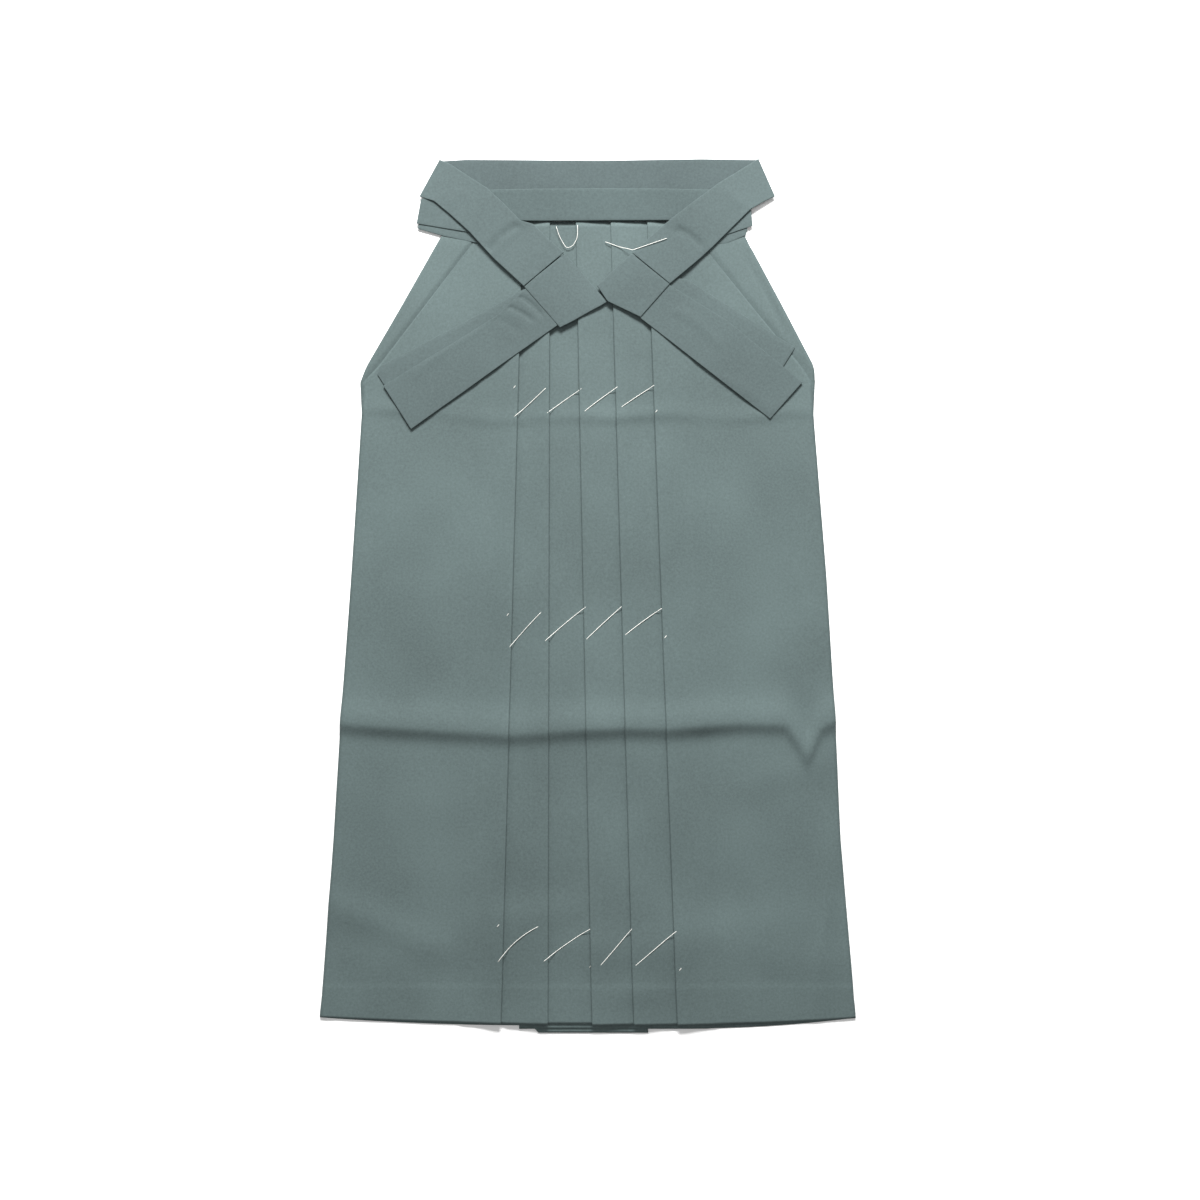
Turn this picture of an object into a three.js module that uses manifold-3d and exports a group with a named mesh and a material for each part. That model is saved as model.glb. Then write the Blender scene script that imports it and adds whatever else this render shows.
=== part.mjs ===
// Hakama: wide pleated trousers with their own ties, pressed, folded and laid flat on a table.
// Millimetres, +Z up. X runs across the garment, +Y runs from the hem to the waist.
// The front faces up. The origin is under the middle of the garment, on the surface it lies on.

import * as THREE from "three";
import { mergeVertices } from "three/addons/utils/BufferGeometryUtils.js";
import Module from "manifold-3d";

const wasm = await Module();
wasm.setup();

// ---- driving sizes --------------------------------------------------------------------------

const LENGTH = 996; // lowest back hem to the top of the back waistband
const WALL = 1; // cloth, with its hem and seam allowances evened out
const GAP = 0.3; // air between two layers that lie on each other
const LAYER = WALL + GAP; // height from one layer to the next
const TOP = 923; // height on the garment where the panels meet their waistbands
const PLEAT_DEPTH = 43; // how far an outer pleat is turned under
const CLIMB = 8; // width over which cloth climbs from the lowest layer on to two others
const CLEAR = 1.5; // room kept beside a folded edge
const STEP = 24; // longest flat facet across a panel
const HEM_FADE = 50; // length of cloth over which the uneven hem evens out
const HANG = 17; // how far from its left fold the turned-under back layer starts to hang lower
const BAND_THICK = 2.3; // back waistband, folded and stiffened
const SLATE = "#7c8f8d";

// ---- outline and pleat lines: a row for each height on the garment ---------------------------

// The outer edges of the front and back panels. They part at the hip, where the side slits open.
const EDGES = [
  { y: 0, frontLeft: -302, frontRight: 302, backLeft: -302, backRight: 302 },
  { y: 55, frontLeft: -299, frontRight: 299, backLeft: -299, backRight: 299 },
  { y: 216, frontLeft: -288, frontRight: 286, backLeft: -288, backRight: 286 },
  { y: 347, frontLeft: -281, frontRight: 281, backLeft: -281, backRight: 281 },
  { y: 511, frontLeft: -270, frontRight: 272, backLeft: -270, backRight: 272 },
  { y: 699, frontLeft: -259, frontRight: 258, backLeft: -259, backRight: 258 },
  { y: 737, frontLeft: -258, frontRight: 256, backLeft: -261, backRight: 260 },
  { y: 755, frontLeft: -241, frontRight: 245, backLeft: -254, backRight: 259 },
  { y: 825, frontLeft: -188, frontRight: 188, backLeft: -214, backRight: 223 },
  { y: 895, frontLeft: -135, frontRight: 132, backLeft: -175, backRight: 186 },
  { y: TOP, frontLeft: -114, frontRight: 108, backLeft: -159, backRight: 171 },
];

// The five folded edges of the front pleats, from the hem to the waist. The two on the left have
// the left side on top, the three on the right have the right side on top.
const PLEATS = {
  first: { hem: -99, waist: -76 },
  second: { hem: -46, waist: -45 },
  third: { hem: 6, waist: -13 },
  fourth: { hem: 53, waist: 27 },
  fifth: { hem: 102, waist: 69 },
};

// The one pleat of the back: its left folded edge, its right folded edge and the seam inside it.
const BACK_PLEAT = {
  left: { hem: -77, waist: -60 },
  right: { hem: 130, waist: 70 },
  seam: { hem: 68, waist: 10 },
};

const lerp = THREE.MathUtils.lerp;
const smooth = THREE.MathUtils.smoothstep;
const line = (edge, y) => lerp(edge.hem, edge.waist, y / TOP);

// An outline column of EDGES at any height.
function edgeAt(column, y) {
  const above = Math.max(1, EDGES.findIndex((row) => row.y >= y));
  const [low, high] = [EDGES[above - 1], EDGES[above]];
  return lerp(low[column], high[column], (y - low.y) / (high.y - low.y));
}

// ---- closed walls -----------------------------------------------------------------------------

// A closed wall from rows of paired points: each row holds as many points on its face as on its back.
function wall(rows) {
  const width = rows[0].face.length;
  const points = rows.flatMap((row) => [...row.face, ...row.back]);
  const at = (row, column, side) => (2 * row + side) * width + column;
  const index = [];
  const quad = (a, b, c, d) => index.push(a, b, c, a, c, d);
  for (let r = 0; r + 1 < rows.length; r++) {
    for (let c = 0; c + 1 < width; c++) {
      quad(at(r, c, 0), at(r, c + 1, 0), at(r + 1, c + 1, 0), at(r + 1, c, 0));
      quad(at(r, c, 1), at(r + 1, c, 1), at(r + 1, c + 1, 1), at(r, c + 1, 1));
    }
    quad(at(r, 0, 0), at(r + 1, 0, 0), at(r + 1, 0, 1), at(r, 0, 1));
    quad(at(r, width - 1, 0), at(r, width - 1, 1), at(r + 1, width - 1, 1), at(r + 1, width - 1, 0));
  }
  const last = rows.length - 1;
  for (let c = 0; c + 1 < width; c++) {
    quad(at(0, c, 0), at(0, c, 1), at(0, c + 1, 1), at(0, c + 1, 0));
    quad(at(last, c, 0), at(last, c + 1, 0), at(last, c + 1, 1), at(last, c, 1));
  }
  const geometry = new THREE.BufferGeometry();
  geometry.setAttribute("position", new THREE.Float32BufferAttribute(points.flat(), 3));
  geometry.setIndex(index);
  return geometry;
}

// Offsets a path in the X-Z plane by half a wall to each side, with mitred corners.
function thicken(path, half) {
  const normals = path.slice(1).map((point, i) => {
    const [dx, dz] = [point.x - path[i].x, point.z - path[i].z];
    const length = Math.hypot(dx, dz);
    return { x: -dz / length, z: dx / length };
  });
  const offset = (side) => path.map((point, i) => {
    const before = normals[Math.max(0, i - 1)];
    const after = normals[Math.min(i, normals.length - 1)];
    const share = (side * half) / (1 + before.x * after.x + before.z * after.z);
    return { x: point.x + share * (before.x + after.x), z: point.z + share * (before.z + after.z) };
  });
  return { face: offset(1), back: offset(-1) };
}

// ---- the skirt: folded walls lying on each other ----------------------------------------------

// Height of the middle of the lowest front layer: over one back layer at the sides, and over the
// three layers of the back pleat in the middle. It slopes down beside the back pleat.
const SLOPE = { near: 13, far: 41 };
function frontFloor(x, y) {
  const [left, right] = [line(BACK_PLEAT.left, y), line(BACK_PLEAT.right, y)];
  const leftSlope = smooth(x, left - SLOPE.far, left - SLOPE.near);
  const rightSlope = 1 - smooth(x, right + SLOPE.near, right + SLOPE.far);
  return WALL / 2 + LAYER + 2 * LAYER * leftSlope * rightSlope;
}

const onTable = () => WALL / 2;

// How high each hem lies over the lowest one. It is level up to the bend, and from there to the
// corner it bows up by the rise.
const HEMS = {
  front_left: { level: 10.5, bend: -46, corner: -302, rise: 7 },
  front_right: { level: 9.5, bend: 102, corner: 302, rise: 7 },
  back_left: { level: 8, bend: -60, corner: -302, rise: 9 },
  back_right: { level: 4.5, bend: 110, corner: 302, rise: 12 },
};
const LOWEST_HEM = 0; // the turned-under layer of the back pleat hangs lowest

function hemHeight({ level, bend, corner, rise }, x) {
  return level + rise * Math.max(0, (x - bend) / (corner - bend)) ** 2;
}

// A panel follows its folds: stops of x and layer, each stretch cut into facets no longer than STEP.
// The number of facets is set by the longest stretch, so that every row has the same points.
function panel(name, stops, floor) {
  const heights = EDGES.map((row) => row.y);
  const routes = heights.map((y) => stops(y));
  const facets = routes[0].slice(1).map((_, i) => {
    const lengths = routes.map((route) => Math.abs(route[i + 1].x - route[i].x));
    return Math.max(1, Math.ceil(Math.max(...lengths) / STEP));
  });
  const rows = heights.map((y, r) => {
    const path = routes[r].flatMap((stop, i) => {
      if (i === facets.length) return [stop];
      const next = routes[r][i + 1];
      return Array.from({ length: facets[i] }, (_, k) => ({
        x: lerp(stop.x, next.x, k / facets[i]),
        layer: lerp(stop.layer, next.layer, k / facets[i]),
        hem: stop.hem,
      }));
    });
    const middle = path.map((point) => ({ x: point.x, z: floor(point.x, y) + point.layer * LAYER }));
    const sides = thicken(middle, WALL / 2);
    const fade = 1 - smooth(y, 0, HEM_FADE);
    const lifts = path.map((point) => fade * (point.hem ?? hemHeight(HEMS[name], point.x)));
    const place = (point, i) => [point.x, y + lifts[i], point.z];
    return { face: sides.face.map(place), back: sides.back.map(place) };
  });
  return wall(rows);
}

// How deep each pleat is turned under, at a height on the garment.
function depths(y) {
  const at = (name) => line(PLEATS[name], y);
  const room = CLIMB + 2 * CLEAR;
  return {
    first: Math.min(PLEAT_DEPTH, at("first") - edgeAt("frontLeft", y) - 2 * CLIMB),
    second: at("second") - at("first") - room,
    third: at("fourth") - at("third") - room,
    fourth: at("fifth") - at("fourth") - room,
    fifth: Math.min(PLEAT_DEPTH, edgeAt("frontRight", y) - at("fifth") - 2 * CLIMB),
  };
}

// From the left edge over the first two pleats, and under the third to the centre front seam.
function frontLeftStops(y) {
  const deep = depths(y);
  const [first, second, third] = ["first", "second", "third"].map((name) => line(PLEATS[name], y));
  const turned = first - deep.first;
  const tucked = second - deep.second;
  return [
    { x: edgeAt("frontLeft", y), layer: 0 },
    { x: turned - CLEAR - CLIMB, layer: 0 },
    { x: turned - CLEAR, layer: 2 },
    { x: first, layer: 2 },
    { x: first, layer: 1 },
    { x: turned, layer: 1 },
    { x: turned, layer: 0 },
    { x: first + CLEAR, layer: 0 },
    { x: tucked - CLEAR, layer: 2 },
    { x: second, layer: 2 },
    { x: second, layer: 1 },
    { x: tucked, layer: 1 },
    { x: tucked, layer: 0 },
    { x: third + deep.third, layer: 0 },
  ];
}

// From the centre front seam under the third pleat, over three pleats to the right edge.
function frontRightStops(y) {
  const deep = depths(y);
  const [third, fourth, fifth] = ["third", "fourth", "fifth"].map((name) => line(PLEATS[name], y));
  return [
    { x: third + deep.third, layer: 1 },
    { x: third, layer: 1 },
    { x: third, layer: 2 },
    { x: third + deep.third + CLEAR, layer: 2 },
    { x: fourth - CLEAR, layer: 0 },
    { x: fourth + deep.fourth, layer: 0 },
    { x: fourth + deep.fourth, layer: 1 },
    { x: fourth, layer: 1 },
    { x: fourth, layer: 2 },
    { x: fourth + deep.fourth + CLEAR, layer: 2 },
    { x: fifth - CLEAR, layer: 0 },
    { x: fifth + deep.fifth, layer: 0 },
    { x: fifth + deep.fifth, layer: 1 },
    { x: fifth, layer: 1 },
    { x: fifth, layer: 2 },
    { x: fifth + deep.fifth + CLEAR, layer: 2 },
    { x: fifth + deep.fifth + CLEAR + CLIMB, layer: 0 },
    { x: edgeAt("frontRight", y), layer: 0 },
  ];
}

// The left back lies on the table as far as the right folded edge, and turns back to the seam.
function backLeftStops(y) {
  const [right, seam] = [line(BACK_PLEAT.right, y), line(BACK_PLEAT.seam, y)];
  return [
    { x: edgeAt("backLeft", y), layer: 0 },
    { x: right, layer: 0 },
    { x: right, layer: 1 },
    { x: seam + GAP, layer: 1 },
  ];
}

// The right back climbs over that fold to the left folded edge, and turns under to the seam.
function backRightStops(y) {
  const [left, right, seam] = ["left", "right", "seam"].map((name) => line(BACK_PLEAT[name], y));
  return [
    { x: seam, layer: 1, hem: LOWEST_HEM },
    { x: left + HANG, layer: 1 },
    { x: left, layer: 1 },
    { x: left, layer: 2 },
    { x: right + CLEAR, layer: 2 },
    { x: right + CLEAR + CLIMB, layer: 0 },
    { x: edgeAt("backRight", y), layer: 0 },
  ];
}

// ---- waistbands and ties: flat strips that drape over what is under them ----------------------

// Height of the skirt's top under the ties, as a smooth hill over the pleats.
const REST = { side: 2 * LAYER, pleats: 6 * LAYER, inner: 122, outer: 178 };
const rest = (x) => lerp(REST.pleats, REST.side, smooth(Math.abs(x), REST.inner, REST.outer));
const SIDE_MARGIN = 3; // how far in from its edges a folded bundle is solid
const END_MARGIN = 0.12; // the same at its ends, as a share of the first and last stretch
const ALONG = 4; // facets between two rows of a strip's table
const ACROSS = 3; // facets across a strip

// A strip between two edges. Each row of its table is a station along it: a point on the low edge,
// a point on the high edge, and the heights of its underside and top over the skirt.
function strip(table, { sides = 0, ends = 0, height = rest } = {}) {
  const last = table.length - 1;
  const stations = Array.from({ length: last * ALONG + 1 }, (_, k) => {
    const place = lerp(ends, last - ends, k / (last * ALONG));
    const start = Math.min(Math.floor(place), last - 1);
    const mix = (key) => lerp(table[start][key], table[start + 1][key], place - start);
    const [low, high] = [[mix("lowX"), mix("lowY")], [mix("highX"), mix("highY")]];
    return { low, high, under: mix("under"), over: mix("over") };
  });
  return wall(stations.map(({ low, high, under, over }) => {
    const margin = sides / Math.hypot(high[0] - low[0], high[1] - low[1]);
    const shares = Array.from({ length: ACROSS + 1 }, (_, k) => lerp(1 - margin, margin, k / ACROSS));
    const level = (amount) => shares.map((share) => {
      const x = lerp(low[0], high[0], share);
      return [x, lerp(low[1], high[1], share), height(x) + amount];
    });
    return { face: level(over), back: level(under) };
  }));
}

function solid(geometry) {
  const bare = mergeVertices(geometry);
  return new wasm.Manifold(new wasm.Mesh({
    numProp: 3,
    vertProperties: new Float32Array(bare.attributes.position.array),
    triVerts: new Uint32Array(bare.index.array),
  }));
}

// A folded tie: one solid, with a slit all round between each two of its layers.
function bundle(layers) {
  const [lowest, highest] = [layers[0], layers[layers.length - 1]];
  const core = highest.map((row) => ({ ...row, under: lowest[0].under }));
  const whole = layers.reduce(
    (sum, layer) => sum.add(solid(strip(layer))),
    solid(strip(core, { sides: SIDE_MARGIN, ends: END_MARGIN })),
  );
  const mesh = whole.getMesh();
  const geometry = new THREE.BufferGeometry();
  geometry.setAttribute("position", new THREE.BufferAttribute(mesh.vertProperties, 3));
  geometry.setIndex(new THREE.BufferAttribute(mesh.triVerts, 1));
  return geometry;
}

// The back waistband lies on the table. Its top edge bows a little.
const BACK_BAND = [
  { lowX: -176, highX: -166, highY: 993 },
  { lowX: -140, highX: -140, highY: 995 },
  { lowX: 14, highX: 14, highY: 994 },
  { lowX: 131, highX: 131, highY: LENGTH },
  { lowX: 174, highX: 189, highY: 995 },
].map((row) => ({ ...row, lowY: TOP + GAP, under: 0, over: BAND_THICK }));

// The front waistband lies on the back one, and holds the pleats between its two faces.
const FRONT_BAND = { left: -118, right: 112, high: 960, cover: 1.2, facets: 12 };

function frontWaistband() {
  const { left, right, facets } = FRONT_BAND;
  const xs = Array.from({ length: facets + 1 }, (_, k) => lerp(left, right, k / facets));
  const row = (y) => ({
    face: xs.map((x) => [x, y, rest(x) + FRONT_BAND.cover]),
    back: xs.map((x) => [x, y, BAND_THICK + GAP]),
  });
  return wall([row(TOP + GAP), row(FRONT_BAND.high)]);
}

// Where each front tie leaves the waistband it is folded flat, in two layers out of line.
const FOLD_UNDER = { under: 0, over: 1.5 };
const FOLD_OVER = { under: 1.8, over: 3.3 };
const FRONT_FOLD_LEFT = [
  [
    { lowX: -196, lowY: 914, highX: -190, highY: 946, ...FOLD_UNDER },
    { lowX: -118.3, lowY: 898, highX: -118.3, highY: 950, ...FOLD_UNDER },
  ],
  [
    { lowX: -197, lowY: 920, highX: -192, highY: 949, ...FOLD_OVER },
    { lowX: -118.3, lowY: 907, highX: -118.3, highY: 958, ...FOLD_OVER },
  ],
];
const FRONT_FOLD_RIGHT = [
  [
    { lowX: 112.3, lowY: 893, highX: 112.3, highY: 948, ...FOLD_UNDER },
    { lowX: 181, lowY: 907, highX: 187, highY: 932, ...FOLD_UNDER },
  ],
  [
    { lowX: 112.3, lowY: 900, highX: 112.3, highY: 956, ...FOLD_OVER },
    { lowX: 189, lowY: 917, highX: 187, highY: 939, ...FOLD_OVER },
  ],
];

// The rest of each front tie is folded into a bundle that slants down to the side.
const TIE_UNDER = { under: 0, over: 1.6 };
const TIE_OVER = { under: 1.9, over: 3.6 };
const FRONT_TIE_LEFT = [
  [
    { lowX: -203, lowY: 688, highX: -241, highY: 750, ...TIE_UNDER },
    { lowX: -120, lowY: 744, highX: -99, highY: 829, ...TIE_UNDER },
    { lowX: -37, lowY: 802, highX: -75, highY: 843, ...TIE_UNDER },
    { lowX: -17, lowY: 815, highX: -57, highY: 857, ...TIE_UNDER },
  ],
  [
    { lowX: -202, lowY: 683, highX: -234, highY: 733, ...TIE_OVER },
    { lowX: -120, lowY: 742, highX: -102, highY: 815, ...TIE_OVER },
    { lowX: -36, lowY: 801, highX: -74, highY: 844, ...TIE_OVER },
    { lowX: -16, lowY: 815, highX: -56, highY: 858, ...TIE_OVER },
  ],
];
const FRONT_TIE_RIGHT = [
  [
    { lowX: 46, lowY: 822, highX: 78, highY: 858, ...TIE_UNDER },
    { lowX: 64, lowY: 813, highX: 112, highY: 856, ...TIE_UNDER },
    { lowX: 196, lowY: 712, highX: 237, highY: 777, ...TIE_UNDER },
  ],
  [
    { lowX: 42, lowY: 823, highX: 73, highY: 863, ...TIE_OVER },
    { lowX: 60, lowY: 810, highX: 93, highY: 849, ...TIE_OVER },
    { lowX: 134, lowY: 753, highX: 158, highY: 809, ...TIE_OVER },
    { lowX: 208, lowY: 695, highX: 245, highY: 737, ...TIE_OVER },
  ],
];

// Each back tie is folded over at its top corner, down to the table, and slants to the middle.
const CORNER = { under: -REST.side, over: 5.2 };
const BACK_TIE_LEFT = [
  { lowX: -194, lowY: 952, highX: -171, highY: 995, ...CORNER },
  { lowX: -190, lowY: 951, highX: -166, highY: 993, under: 3.9, over: 6 },
  { lowX: -160, lowY: 931, highX: -137, highY: 975, under: 3.9, over: 6 },
  { lowX: -136, lowY: 910, highX: -94, highY: 941, under: 3.9, over: 6 },
  { lowX: -112, lowY: 884, highX: -61, highY: 920, under: 3.9, over: 6 },
  { lowX: -73.2, lowY: 846.2, highX: -27.2, highY: 885.2, under: 4.4, over: 6.6 },
];
const BACK_TIE_RIGHT = [
  { lowX: 93.2, lowY: 849.5, highX: 50.2, highY: 884.5, under: 4.4, over: 6.6 },
  { lowX: 134, lowY: 885, highX: 95, highY: 923, under: 3.9, over: 6 },
  { lowX: 163, lowY: 912, highX: 125, highY: 948, under: 3.9, over: 6 },
  { lowX: 209, lowY: 949, highX: 180, highY: 989, under: 3.9, over: 6 },
  { lowX: 215, lowY: 952, highX: 196, highY: 995.5, ...CORNER },
];

// The squares that the back ties make over the bundles. The left one dips under the right one.
const SQUARE_LEFT = [
  { lowX: -32, lowY: 800, highX: -72.8, highY: 845.8, under: 3.9, over: 5.9 },
  { lowX: 0, lowY: 817, highX: -42, highY: 871.5, under: 3.9, over: 5.9 },
  { lowX: 21.8, lowY: 829, highX: -27, highY: 884.8, under: 2.4, over: 4.4 },
];
const SQUARE_RIGHT = [
  { lowX: 10.4, lowY: 847, highX: 50, highY: 884, under: 4.2, over: 6.2 },
  { lowX: 22.4, lowY: 829, highX: 68, highY: 869, under: 4.2, over: 6.2 },
  { lowX: 60, lowY: 811, highX: 93, highY: 849, under: 3.9, over: 5.9 },
];

// ---- the garment ------------------------------------------------------------------------------

const garment = new THREE.Group();

function add(name, geometry) {
  const cloth = new THREE.MeshStandardMaterial({ color: SLATE, roughness: 0.85, metalness: 0 });
  geometry.computeVertexNormals();
  const mesh = new THREE.Mesh(geometry, cloth);
  mesh.name = name;
  garment.add(mesh);
}

add("back_left", panel("back_left", backLeftStops, onTable));
add("back_right", panel("back_right", backRightStops, onTable));
add("front_left", panel("front_left", frontLeftStops, frontFloor));
add("front_right", panel("front_right", frontRightStops, frontFloor));
add("back_waistband", strip(BACK_BAND, { height: () => 0 }));
add("front_waistband", frontWaistband());
add("front_tie_fold_left", bundle(FRONT_FOLD_LEFT));
add("front_tie_fold_right", bundle(FRONT_FOLD_RIGHT));
add("front_tie_left", bundle(FRONT_TIE_LEFT));
add("front_tie_right", bundle(FRONT_TIE_RIGHT));
add("back_tie_left", strip(BACK_TIE_LEFT));
add("back_tie_right", strip(BACK_TIE_RIGHT));
add("back_tie_square_left", strip(SQUARE_LEFT));
add("back_tie_square_right", strip(SQUARE_RIGHT));
garment.position.y = -LENGTH / 2;

export default garment;
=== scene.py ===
import math

import bpy
import numpy as np
from mathutils import Matrix


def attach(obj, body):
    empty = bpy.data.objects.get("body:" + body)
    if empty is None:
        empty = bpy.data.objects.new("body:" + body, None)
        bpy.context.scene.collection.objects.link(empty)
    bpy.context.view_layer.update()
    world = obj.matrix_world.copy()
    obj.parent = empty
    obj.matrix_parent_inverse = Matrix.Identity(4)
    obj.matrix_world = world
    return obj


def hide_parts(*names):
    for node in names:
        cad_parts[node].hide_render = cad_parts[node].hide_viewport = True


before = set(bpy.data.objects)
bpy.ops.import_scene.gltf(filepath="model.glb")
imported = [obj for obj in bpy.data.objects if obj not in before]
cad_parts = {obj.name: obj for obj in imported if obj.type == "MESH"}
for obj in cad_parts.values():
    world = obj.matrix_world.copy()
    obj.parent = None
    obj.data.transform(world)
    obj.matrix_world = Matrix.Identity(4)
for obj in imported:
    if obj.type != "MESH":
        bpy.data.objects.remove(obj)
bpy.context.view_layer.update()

# A pair of hakama, pressed, folded and laid flat with the front up. Shapes are worked out in
# millimetres: x across, y up from the lowest hem, z up from the table. MM turns them to metres.

MM = 0.001
LENGTH = 996          # lowest hem to the top of the back waistband
WAIST = 923           # where the panels meet their waistbands
CLOTH = 0.45          # thickness of the cloth
EDGE = 1.9            # height of one layer at a pleat's open folded edge
TUCK = 0.65           # height of one layer at the inner fold, where the pleat is pressed flat
BACK_LAYER = 0.65     # height of one layer of the back pleat
DEPTH = 43            # how far the outer pleats are turned under
CLIMB = 8             # run over which a panel climbs onto the layer beside it
CLEAR = 1.5           # gap kept beside a fold
HANG = 17             # width of the back layer that hangs lowest at the hem
HEM_FADE = 50         # height over which a hem's bow fades out
HEM_FOLD = 42         # depth of the turned-up hem
HEM_STEP = 0.4        # how high the turned-up hem stands
SLACK = 0.5           # air between the front and what it lies on
PRESS = 0.5           # share of the pleats' height that the waistband presses away
PRESSED_FROM = 760    # where that begins, and where it is complete
PRESSED_TO = 885

# Outer edges of the panels: height on the garment, then the left and right edges.
EDGES = {
    "y":          [0, 55, 216, 347, 511, 699, 737, 755, 825, 895, WAIST],
    "frontLeft":  [-302, -299, -288, -281, -270, -259, -258, -241, -188, -135, -114],
    "frontRight": [302, 299, 286, 281, 272, 258, 256, 245, 188, 132, 108],
    "backLeft":   [-302, -299, -288, -281, -270, -259, -261, -254, -214, -175, -159],
    "backRight":  [302, 299, 286, 281, 272, 258, 260, 259, 223, 186, 171],
}
# Folded edges, at the hem and at the waist.
PLEATS = {
    "first": (-99, -76),
    "second": (-46, -45),
    "third": (6, -13),
    "fourth": (53, 27),
    "fifth": (102, 69),
}
BACK_PLEAT = {"left": (-77, -60), "right": (130, 70), "seam": (68, 10)}
# Hems: level height, where the bow starts, its corner, and how far the corner rises.
HEMS = {
    "front_left": (10.5, -46, -302, 7),
    "front_right": (9.5, 102, 302, 7),
    "back_left": (8, -60, -302, 9),
    "back_right": (4.5, 110, 302, 12),
}


def smooth(x, a, b):
    """0 before a, 1 after b, and 3t^2 - 2t^3 between them."""
    t = np.clip((x - a) / (b - a), 0, 1)
    return t * t * (3 - 2 * t)


def edge(column, y):
    return np.interp(y, EDGES["y"], EDGES[column])


def line(ends, y):
    """A straight folded edge, from its place at the hem to its place at the waist."""
    return ends[0] + (ends[1] - ends[0]) * np.asarray(y, float) / WAIST


# ---- creases and soft waves of the skirt --------------------------------------------------------

# The storage fold right across: place along it, height on the garment, and how high it stands.
FOLD_X = [-300, -282, -236, -157, -120, -90, -45, -6, 45, 90, 130, 173, 224, 240, 249, 257, 264, 282, 300]
FOLD_Y = [350, 350, 346, 341, 339, 337, 340, 343, 345, 344, 347, 350, 349, 326, 310, 328, 345, 354, 356]
FOLD_H = [3.4, 4.6, 6.2, 5.6, 5.2, 5.0, 5.2, 6.2, 6.2, 5.6, 7.4, 5.6, 5.0, 4.6, 4.6, 4.6, 4.8, 4.6, 3.6]
# The weak one below the ties.
WEAK_X = [-262, -215, -180, -150, -112, -90, -60, -20, 30, 60, 95, 130, 165, 205, 225, 262]
WEAK_Y = [706, 707, 706, 699, 694, 693, 697, 698, 696, 699, 701, 698, 696, 699, 704, 702]
WEAK_H = [0.3, 1.5, 0.7, 0.5, 1.0, 0.8, 0.7, 1.0, 1.5, 1.6, 1.1, 0.6, 0.8, 1.4, 0.9, 0.5]
# Soft waves: middle, direction of the ridge in degrees, half length, half width, height.
WAVES = [
    (-225, 118, -24, 75, 17, 1.6), (-270, 135, -20, 50, 20, 1.3), (-70, 132, 4, 70, 20, 2.2),
    (-150, 100, 8, 90, 24, 1.3), (10, 96, -4, 80, 22, 1.6), (150, 112, 5, 110, 26, 1.6),
    (235, 82, -8, 70, 22, 1.2), (-100, 190, 12, 120, 40, 1.2), (120, 215, -6, 140, 44, 1.2),
    (-210, 255, 10, 90, 46, 1.0), (225, 292, 18, 60, 20, 1.2), (268, 120, 84, 95, 9, 1.7),
    (-288, 60, 80, 60, 8, 1.0), (-200, 470, 78, 150, 40, 0.9), (190, 520, 96, 170, 42, 1.0),
    (-190, 600, 88, 100, 30, 0.7), (215, 640, 84, 90, 30, 0.7), (60, 45, 4, 60, 14, 0.8),
]
# Reach of the two folds above and below their crests: on the front, and on the back.
FRONT_REACH = {"fold": (26, 11.5), "weak": (11, 7)}
BACK_REACH = {"fold": (12, 9), "weak": (9, 7)}
BACK_SHARE = {"fold": 0.25, "weak": 0.4}    # the back's folds, as a share of the front's


def ridge(x, y, xs, ys, hs, reaches):
    """A crest along a line: height times a bell, wide above the crest and steep below it."""
    rise, fall = reaches
    s = y - np.interp(x, xs, ys)
    reach = np.where(s > 0, rise, fall)
    return np.interp(x, xs, hs) * np.exp(-((s / reach) ** 2))


def waves(x, y):
    """The sum of long bells, each turned to its own direction."""
    z = np.zeros_like(x)
    for cx, cy, turn, length, width, height in WAVES:
        a = math.radians(turn)
        along = (x - cx) * math.cos(a) + (y - cy) * math.sin(a)
        across = -(x - cx) * math.sin(a) + (y - cy) * math.cos(a)
        z += height * np.exp(-((along / length) ** 2) - (across / width) ** 2)
    return z


def ripple(x, y):
    """Small unevenness of pressed cloth, a sum of sines of unlike lengths."""
    return (0.16 * np.sin(x / 31 + 1.7 * np.sin(y / 83)) * np.sin(y / 47 + 0.6)
            + 0.12 * np.sin(x / 17 - y / 61 + 2.1) * np.sin(y / 29 + x / 90)
            + 0.10 * np.sin(y / 13 + 2.3 * np.sin(x / 41)) * np.sin(x / 53 + 0.4))


def creases(x, y):
    """All that lifts the front off the back: folds, waves, ripples and the turned-up hem."""
    z = ridge(x, y, FOLD_X, FOLD_Y, FOLD_H, FRONT_REACH["fold"])
    z += ridge(x, y, WEAK_X, WEAK_Y, WEAK_H, FRONT_REACH["weak"])
    z += waves(x, y) + SLACK + ripple(x, y)
    held = smooth(y, WAIST + 30, WAIST - 60)
    return z * held + HEM_STEP * (1 - smooth(y, HEM_FOLD + 9, HEM_FOLD + 13))


# The line where the back's hem is turned in beside the right slit: height, then place across.
SLIT_Y = [742, 794, 873]
SLIT_X = [256, 228, 186]
BULGE = 2.0           # height of the hems beside the slits
GROOVE = (1.7, 1.6)   # depth and half width of the groove along the fold line


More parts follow.
